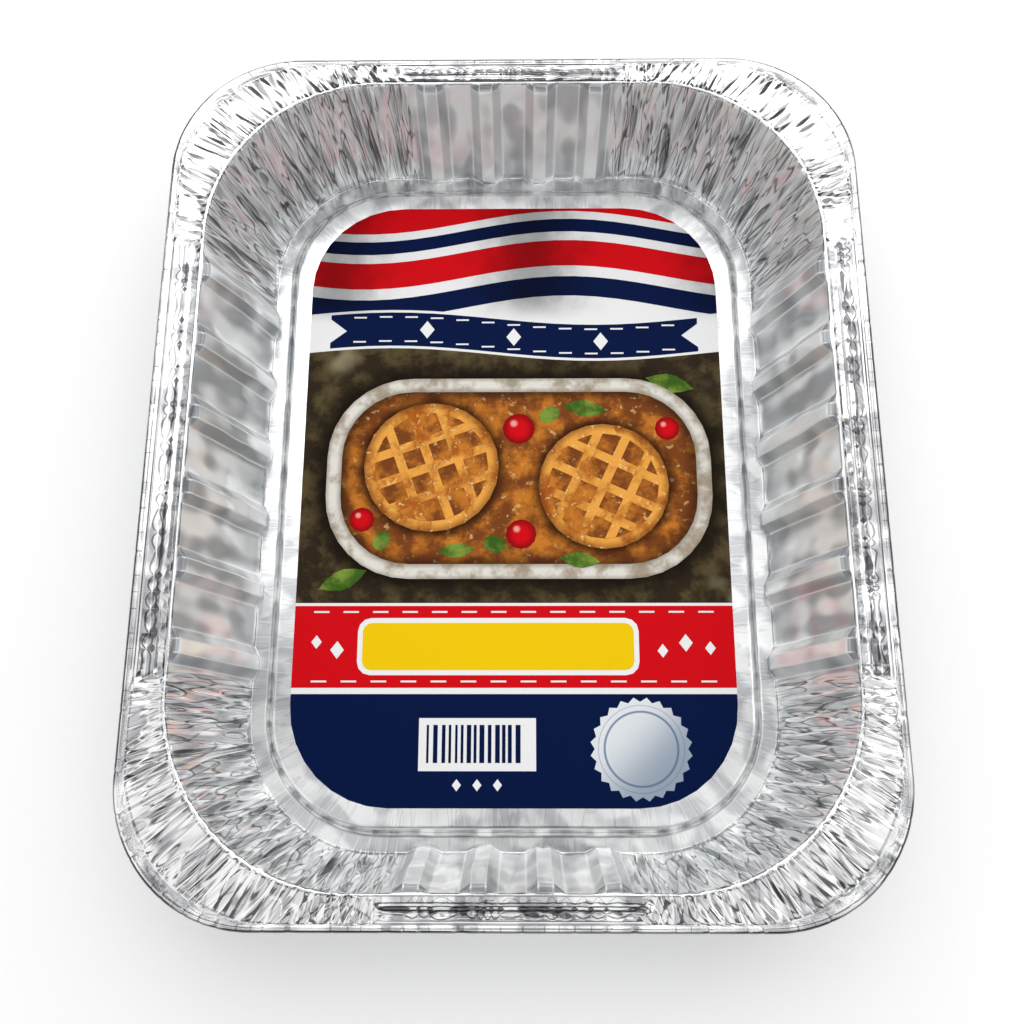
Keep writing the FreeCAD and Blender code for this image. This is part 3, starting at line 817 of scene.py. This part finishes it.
def inkMaterial(name, colour):
    look = Shader(name + "_ink")
    place = look.place()
    grain = look.noise(place, inkGrains["card"], 2.0)
    cloud = look.noise(place, inkGrains["cloud"], 4.0, 0.6)
    x, y, _ = look.parts(place)
    # folds: the wave fields are shaded across the card as hanging cloth is
    folds = (x * 0.075 + cloud * 2.0).sine() * 0.5 + 0.5
    inFolds = tuple(v * 0.3 for v in colour)
    base = look.mix(folds * folds * y.step(70.0, 82.0) * 0.85, colour, inFolds)
    if name in tones:
        base = look.mix(cloud.step(0.40, 0.66), colour, tones[name])
    edge = fromDish(look, x, y)
    pie = fromSpot(x, y, piePlaces[0]).maths("MINIMUM", fromSpot(x, y, piePlaces[1]))
    if name == "print_dark":
        # shade beside the dish, and pale blurs far from it
        blur = look.noise(place, inkGrains["farBlur"], 1.0).step(0.55, 0.75) * edge.step(8.0, 20.0)
        base = look.mix(blur * 0.6, base, inkShades["farBlur"])
        base = look.mix(1 - edge.step(-1.0, 9.0), base, inkShades["besideDish"])
    if name == "print_cream":
        # pressed rim: light at its middle, darker to both sides
        base = look.mix(edge.step(-2.0, 0.0) * 0.5 + (1 - edge.step(-6.0, -3.5)) * 0.6, base,
                        inkShades["rimSide"])
    if name == "print_brown":
        # sauce: glazed spots, darker beside the pies and the dish
        glaze = look.noise(place, inkGrains["glaze"], 3.0, 0.6).step(0.60, 0.72)
        base = look.mix(glaze * 0.7, base, inkShades["glaze"])
        besidePie = (1 - pie.step(0.98, 1.18)) * pie.step(0.9, 0.98)
        base = look.mix(besidePie * 0.9, base, inkShades["besidePie"])
        base = look.mix(edge.step(-12.0, -5.5) * 0.8, base, inkShades["insideDish"])
    if name == "print_orange":
        # baked crust: darker at its rim, with pale spots
        base = look.mix(pie.step(0.86, 1.0) * 0.65, base, inkShades["crustRim"])
        spots = look.noise(place, inkGrains["crustSpots"], 2.0).step(0.60, 0.72)
        base = look.mix(spots * 0.7, base, inkShades["crustSpots"])
    if name == "print_red":
        # small tomatoes: dark towards the rim, with a soft shine above the middle
        farAway = 9.0
        tomato, shine = farAway, farAway
        for across, along, radius in tomatoPlaces:
            shinePlace = (across - 0.3 * radius, along + 0.35 * radius, 0.3 * radius)
            tomato = fromSpot(x, y, (across, along, radius)).maths("MINIMUM", tomato)
            shine = fromSpot(x, y, shinePlace).maths("MINIMUM", shine)
        rim = tomato.step(0.35, 1.0) * (1 - tomato.step(1.0, 1.05))
        base = look.mix(rim * 0.75, base, inkShades["tomatoRim"])
        base = look.mix((1 - shine.step(0.3, 1.0)) * 0.75, base, inkShades["tomatoShine"])
    if name == "print_silver":
        # satin seal: light to blue grey across it, with fine rings
        ring = fromSpot(x, y, sealPlace)
        sweep = ((x - y) * 0.045 - 0.5).sine() * 0.5 + 0.5
        base = look.mix(sweep.step(0.1, 0.9), colour, inkShades["sealSweep"])
        lines = (ring * 44.0).sine().step(0.2, 0.9) * (ring.step(0.62, 0.66) - ring.step(0.86, 0.90))
        base = look.mix(lines * 0.8, base, inkShades["sealRings"])
    look.set(Base_Color=base, Roughness=inkFinish["roughness"] + grain * inkFinish["roughnessGrain"],
             Specular_IOR_Level=inkFinish["shine"])
    return look.material


for node, colour in inks.items():
    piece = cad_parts[node]
    piece.data.materials.clear()
    piece.data.materials.append(inkMaterial(node, colour))
print("materials made")

# cards: how many, lowest and highest angle above the floor, share of the round they fill, the
# first one's turn and how light they are
stage = {"floorSize": 3.0, "floorGlow": 0.12, "worldLight": 0.73,
         "lampPlace": (0.20, 0.85, 1.25), "lampSize": (2.1, 1.7), "lampPower": 11.5,
         "cardReach": 1.0, "cardSpace": 0.01,
         "cards": [(9, 4, 34, 0.62, 15, 0.04), (5, 44, 56, 0.26, 90, 0.20),
                   (4, 68, 80, 0.36, 0, 0.08), (4, 66, 81, 0.50, 45, 0.60),
                   (3, 82, 89.5, 0.9, 30, 0.10), (1, 58, 78, 0.20, 270, 0.05),
                   (1, 55, 65, 0.12, 40, 0.25)]}


def plane(name, corners):
    mesh = bpy.data.meshes.new(name)
    mesh.from_pydata([tuple(c) for c in corners], [], [tuple(range(len(corners)))])
    piece = bpy.data.objects.new(name, mesh)
    bpy.context.scene.collection.objects.link(piece)
    return piece


floorHalf = stage["floorSize"] / 2
floorCorners = [(-floorHalf, -floorHalf, 0), (floorHalf, -floorHalf, 0),
                (floorHalf, floorHalf, 0), (-floorHalf, floorHalf, 0)]
floor = plane("floor", floorCorners)
floorLook = Shader("floor_white")
floorLook.set(Base_Color=(0.93, 0.93, 0.93, 1), Roughness=0.9, Specular_IOR_Level=0.0)
seenByCamera = floorLook.node("LightPath", output=0)
glow = floorLook.node("Emission", Color=(1, 1, 1, 1), Strength=seenByCamera * stage["floorGlow"])
plainFloor = Signal(floorLook.tree, floorLook.surface.outputs[0])
glowingFloor = floorLook.node("AddShader", i0=plainFloor, i1=glow)
floorLook.tree.links.new(glowingFloor.socket, floorLook.output.inputs["Surface"])
floor.data.materials.append(floorLook.material)
floorLook.material.cycles.emission_sampling = "NONE"  # its glow lights nothing

world = bpy.data.worlds.new("studio")
bpy.context.scene.world = world
world.use_nodes = True
worldTree = world.node_tree
lightPath = worldTree.nodes.new("ShaderNodeLightPath")
background = worldTree.nodes["Background"]
cameraRay, glossyRay, clearRay = (Signal(worldTree, lightPath.outputs["Is " + kind + " Ray"])
                                  for kind in ("Camera", "Glossy", "Transmission"))
seenWhite = cameraRay.maths("MAXIMUM", glossyRay).maths("MAXIMUM", clearRay)
worldStrength = seenWhite * (1.0 - stage["worldLight"]) + stage["worldLight"]
background.inputs["Color"].default_value = (1, 1, 1, 1)
worldTree.links.new(worldStrength.socket, background.inputs["Strength"])


# one broad soft lamp, aimed at the pan's foot
lampData = bpy.data.lights.new("lamp_top", "AREA")
lampData.shape = "RECTANGLE"
lampData.size, lampData.size_y = stage["lampSize"]
lampData.energy = stage["lampPower"]
lamp = bpy.data.objects.new("lamp_top", lampData)
lamp.location = stage["lampPlace"]
lamp.rotation_euler = (-Vector(stage["lampPlace"])).to_track_quat("-Z", "Y").to_euler()
bpy.context.scene.collection.objects.link(lamp)

# dark studio cards round and over the set, which only mirrors see, so that the foil has
# something dark to mirror
for ringNumber, (count, lowest, highest, filled, start, grey) in enumerate(stage["cards"]):
    cardLook = Shader("studio_card_" + str(ringNumber))
    cardLook.set(Base_Color=(grey, grey, grey, 1), Roughness=0.8,
                 Emission_Color=(grey, grey, grey, 1), Emission_Strength=1.0)
    cardLook.material.cycles.emission_sampling = "NONE"
    for i in range(count):
        corners = []
        for degrees, swing in ((lowest, -0.5), (lowest, 0.5), (highest, 0.5), (highest, -0.5)):
            angle = math.radians(start) + 2 * math.pi * (i + swing * filled) / count
            tilt = math.radians(degrees)
            toCard = Vector((math.cos(tilt) * math.cos(angle), math.cos(tilt) * math.sin(angle),
                             math.sin(tilt)))
            corners.append(toCard * (stage["cardReach"] - stage["cardSpace"] * ringNumber))
        card = plane("studio_card_" + str(ringNumber) + "_" + str(i), corners)
        card.data.materials.append(cardLook.material)
        card.visible_camera = False
        card.visible_diffuse = False
        card.visible_shadow = False

# camera solved from the photo: the target lies in the mouth's plane
shot = {"focalPixels": 1078.54, "pixels": 1024, "sensor": 36.0, "rise": 74.63, "turn": 2.23,
        "roll": -2.24, "distance": 377.24, "target": (-0.13, -24.18, pan["mouthHeight"])}
rise, turn, roll = (math.radians(shot[k]) for k in ("rise", "turn", "roll"))
back = Vector((math.sin(turn) * math.cos(rise), -math.cos(turn) * math.cos(rise), math.sin(rise)))
right = (-back).cross(Vector((0, 0, 1))).normalized()
up = right.cross(-back)
tiltedRight = right * math.cos(roll) + up * math.sin(roll)
tiltedUp = up * math.cos(roll) - right * math.sin(roll)
cameraData = bpy.data.cameras.new("camera")
camera = bpy.data.objects.new("camera", cameraData)
bpy.context.scene.collection.objects.link(camera)
cameraPlace = (Vector(shot["target"]) + back * shot["distance"]) / 1000
turnMatrix = Matrix((tiltedRight, tiltedUp, back)).transposed().to_4x4()
camera.matrix_world = Matrix.Translation(cameraPlace) @ turnMatrix
cameraData.sensor_width = shot["sensor"]
cameraData.lens = shot["focalPixels"] * shot["sensor"] / shot["pixels"]
cameraData.clip_start = 0.01
bpy.context.scene.camera = camera
bpy.context.scene.view_settings.view_transform = "Standard"
print("stage made")
